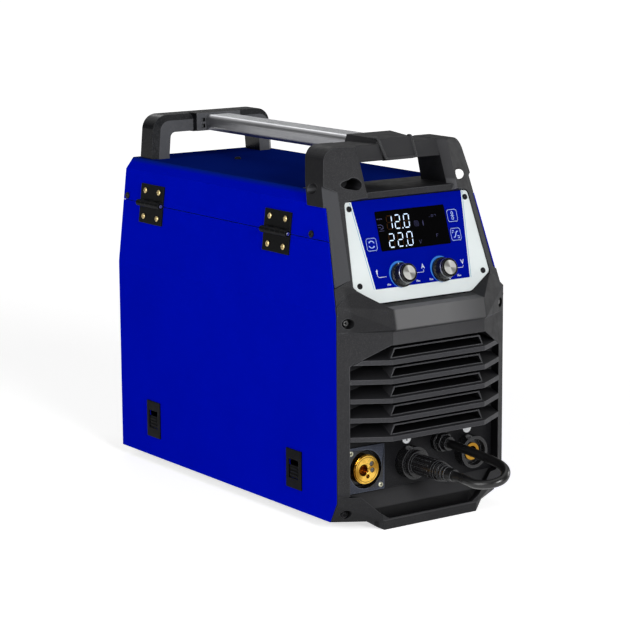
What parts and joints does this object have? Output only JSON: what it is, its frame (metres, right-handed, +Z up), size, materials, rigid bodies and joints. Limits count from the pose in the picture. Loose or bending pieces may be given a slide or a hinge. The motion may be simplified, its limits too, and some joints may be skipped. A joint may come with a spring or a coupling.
{
  "type": "MIG welding machine",
  "caption": "Portable inverter MIG welding machine with faceted front, control panel, tube handle, polarity lead, and a hinged side door over a wire spool and feeder.",
  "frame": {"origin": "centre of the bounding box's footprint on the floor, measured without the polarity lead and its plug", "axes": "+Z up; the front panel faces -Y; +X is the right side seen from the front"},
  "size_m": [0.2492, 0.6652, 0.448],
  "materials": {
    "blue_paint": "gloss powder coat, fine orange peel",
    "black_paint": "satin powder coat",
    "dark_paint": "satin powder coat",
    "grey_sheet": "galvanised",
    "dark_plastic": "fine moulded texture",
    "arch_plastic": "gloss",
    "black_plastic": "satin",
    "knob_plastic": "satin",
    "fan_plastic": "satin",
    "arm_plastic": "satin",
    "spool_plastic": "satin",
    "flange_plastic": "satin",
    "white_plate": "satin",
    "blue_film": "printed film",
    "blue_key": "printed film",
    "lcd_window": "clear window over a black display",
    "tube_aluminium": "brushed, clear anodised",
    "cast_aluminium": "cast",
    "bright_cap": "turned face",
    "bright_steel": "bright zinc",
    "black_screw": "black oxide",
    "yellow_screw": "yellow zinc",
    "brass": "turned",
    "black_rubber": "matte",
    "motor_paint": "satin",
    "coppered_wire": "copper coated",
    "board_green": "solder mask",
    "core_steel": "varnished core and winding",
    "red_switch": "gloss"
  },
  "bodies": {
    "case": {"base_tray": "black_paint", "divider_wall": "grey_sheet", "cover_shell": "blue_paint", "front_bezel": "dark_plastic", "louvre_grille": "dark_plastic", "socket_panel": "dark_plastic", "rear_panel": "dark_paint", "fan_grille": "black_plastic", "rear_arch": "arch_plastic", "handle_tube": "tube_aluminium", "control_plate": "white_plate", "panel_overlay": "blue_film", "display_window": "lcd_window", "plate_screws": "black_screw", "bezel_screws": "black_screw", "cover_screws": "black_screw", "euro_flange": "flange_plastic", "euro_socket": "brass", "euro_pins": "bright_steel", "dinse_housings": "black_plastic", "dinse_inserts": "brass", "cable_gland": "black_plastic", "polarity_lead": "black_rubber", "fixed_hinge_leaves": "black_paint", "hinge_pins": "bright_steel", "fixed_hinge_screws": "yellow_screw", "feeder_plate": "cast_aluminium", "feed_motor": "motor_paint", "wire_guides": "bright_steel", "welding_wire": "coppered_wire", "spool_hub": "black_plastic", "spool_nut": "black_plastic", "power_board": "board_green", "heat_sinks": "cast_aluminium", "transformer": "core_steel", "fan_frame": "black_plastic", "rear_fittings": "brass"},
    "door": {"side_door": "blue_paint", "door_hinge_leaves": "black_paint", "door_hinge_screws": "yellow_screw", "latch_frames": "black_plastic"},
    "rear_latch": {"rear_latch_slider": "black_plastic"},
    "front_latch": {"front_latch_slider": "black_plastic"},
    "process_button": {"process_key": "blue_key"},
    "gas_button": {"gas_key": "blue_key"},
    "trigger_button": {"trigger_key": "blue_key"},
    "current_dial": {"current_knob": "knob_plastic", "current_knob_cap": "bright_cap"},
    "voltage_dial": {"voltage_knob": "knob_plastic", "voltage_knob_cap": "bright_cap"},
    "plug": {"polarity_plug": "black_plastic", "plug_boot": "black_rubber"},
    "drive_roller": {"drive_roll": "bright_steel"},
    "arm": {"pressure_arm": "arm_plastic"},
    "pressure_roller": {"pressure_roll": "bright_steel"},
    "tensioner": {"tension_knob": "knob_plastic"},
    "spool": {"wire_spool": "spool_plastic", "wire_winding": "coppered_wire"},
    "fan": {"fan_rotor": "fan_plastic"},
    "rocker": {"power_switch": "red_switch"}
  },
  "joints": [
    {"name": "door_hinge", "type": "hinge", "parent": "case", "child": "door", "pos_m": [-0.1182, 0, 0.33753], "axis": [0, 1, 0], "range_deg": [0, 165]},
    {"name": "rear_latch_slide", "type": "slide", "parent": "door", "child": "rear_latch", "axis": [0, 0, 1], "range_m": [0, 0.007], "stiffness_N_per_m": 300, "springref_m": -0.008},
    {"name": "front_latch_slide", "type": "slide", "parent": "door", "child": "front_latch", "axis": [0, 0, 1], "range_m": [0, 0.007], "stiffness_N_per_m": 300, "springref_m": -0.008},
    {"name": "process_key_press", "type": "slide", "parent": "case", "child": "process_button", "axis": [0, 0.9494, -0.314], "range_m": [0, 0.0005], "stiffness_N_per_m": 1500, "springref_m": -0.001},
    {"name": "gas_key_press", "type": "slide", "parent": "case", "child": "gas_button", "axis": [0, 0.9494, -0.314], "range_m": [0, 0.0005], "stiffness_N_per_m": 1500, "springref_m": -0.001},
    {"name": "trigger_key_press", "type": "slide", "parent": "case", "child": "trigger_button", "axis": [0, 0.9494, -0.314], "range_m": [0, 0.0005], "stiffness_N_per_m": 1500, "springref_m": -0.001},
    {"name": "current_knob_turn", "type": "hinge", "parent": "case", "child": "current_dial", "pos_m": [-0.03, -0.23989, 0.29353], "axis": [0, -0.9494, 0.314], "range_deg": [-163, 137]},
    {"name": "voltage_knob_turn", "type": "hinge", "parent": "case", "child": "voltage_dial", "pos_m": [0.03, -0.23989, 0.29353], "axis": [0, -0.9494, 0.314], "range_deg": [0, 300]},
    {"name": "plug_twist", "type": "hinge", "parent": "case", "child": "plug", "pos_m": [-0.016, -0.26, 0.07], "axis": [0, -1, 0], "range_deg": [0, 90]},
    {"name": "spool_spin", "type": "hinge", "parent": "case", "child": "spool", "pos_m": [-0.0795, 0.095, 0.187], "axis": [1, 0, 0], "continuous": true},
    {"name": "drive_roll_spin", "type": "hinge", "parent": "case", "child": "drive_roller", "pos_m": [-0.084, -0.15, 0.05455], "axis": [1, 0, 0], "continuous": true},
    {"name": "pressure_arm_lift", "type": "hinge", "parent": "case", "child": "arm", "pos_m": [-0.07, -0.112, 0.09245], "axis": [-1, 0, 0], "range_deg": [0, 60]},
    {"name": "pressure_roll_spin", "type": "hinge", "parent": "arm", "child": "pressure_roller", "pos_m": [-0.084, -0.15, 0.08245], "axis": [1, 0, 0], "continuous": true},
    {"name": "tension_knob_turn", "type": "hinge", "parent": "arm", "child": "tensioner", "pos_m": [-0.084, -0.179, 0.1], "axis": [0, 0, 1], "range_deg": [-360, 360]},
    {"name": "fan_spin", "type": "hinge", "parent": "case", "child": "fan", "pos_m": [0.04, 0.215, 0.15], "axis": [0, 1, 0], "continuous": true},
    {"name": "power_switch_rock", "type": "hinge", "parent": "case", "child": "rocker", "pos_m": [0.06, 0.237, 0.29], "axis": [1, 0, 0], "range_deg": [0, 16]}
  ],
  "couplings": [
    {"joint": "drive_roll_spin", "follows": "spool_spin", "ratio": -5.5663},
    {"joint": "pressure_roll_spin", "follows": "spool_spin", "ratio": 6.9076}
  ]
}
